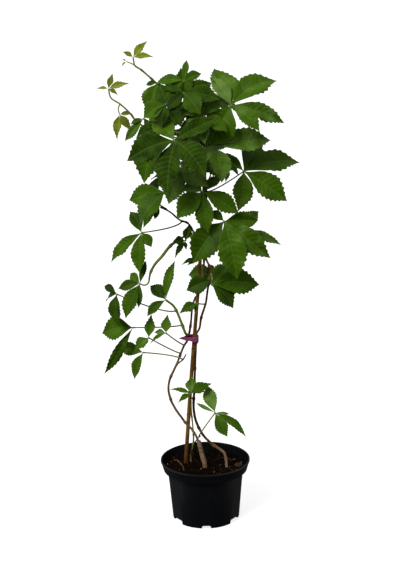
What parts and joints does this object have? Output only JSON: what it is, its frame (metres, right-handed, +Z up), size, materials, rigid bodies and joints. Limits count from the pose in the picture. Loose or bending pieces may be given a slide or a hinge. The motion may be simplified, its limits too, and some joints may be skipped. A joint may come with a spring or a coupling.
{
  "type": "potted virginia creeper",
  "caption": "Young climbing vine with toothed five-part leaves, tied to a cane and standing in a round black nursery pot of soil.",
  "frame": {"origin": "middle of the pot's flat underside", "axes": "+Z up along the plant, -Y towards the side that the picture shows, +X to the right in the picture"},
  "size_m": [0.3766, 0.226, 0.9137],
  "materials": {
    "pot": "black moulded plastic, soft sheen",
    "soil": "moist dark peat and bark",
    "cane": "weathered orange-brown bamboo",
    "tie": "pink tape",
    "bark": "tan to dark brown bark",
    "leaf": "mid green leaf with a soft sheen",
    "young_leaf": "yellow-green young leaf"
  },
  "bodies": {
    "root": {"pot": "pot", "soil": "soil", "cane": "cane", "tie": "tie", "stem_main": "bark", "stem_right": "bark", "stem_small": "bark", "stem_cut_stub": "bark", "leaf_crown_top": "leaf", "leaf_crown_top_front": "leaf", "leaf_crown_top_left": "leaf", "leaf_crown_top_right": "leaf", "leaf_crown_left": "leaf", "leaf_crown_left_small": "leaf", "leaf_crown_left_low": "leaf", "leaf_crown_inner_high": "leaf", "leaf_crown_inner_low": "leaf", "leaf_crown_middle": "leaf", "leaf_crown_front": "leaf", "leaf_crown_right": "leaf", "leaf_crown_low": "leaf", "leaf_right": "leaf", "leaf_middle_front": "leaf", "leaf_middle_left": "leaf", "leaf_front": "leaf", "leaf_right_slim": "leaf", "leaf_left": "leaf", "leaf_left_tip": "leaf", "leaf_middle_small": "leaf", "leaf_middle_slim": "leaf", "leaf_low_right": "leaf", "leaf_low_back": "leaf", "leaf_low_cane": "leaf", "leaf_low_curled": "leaf", "leaf_lower_left_high": "leaf", "leaf_lower_left_middle": "leaf", "leaf_lower_left_low": "leaf", "leaf_bottom": "leaf", "leaf_bottom_right": "leaf", "shoot_top": "young_leaf", "shoot_left": "young_leaf", "shoot_middle": "young_leaf", "shoot_low": "leaf", "leaf_lower_left_tip": "leaf", "leaf_lower_left": "leaf", "leaf_back_1": "leaf", "leaf_back_2": "leaf", "leaf_back_3": "leaf", "leaf_back_4": "leaf", "leaf_back_5": "leaf"}
  },
  "joints": []
}
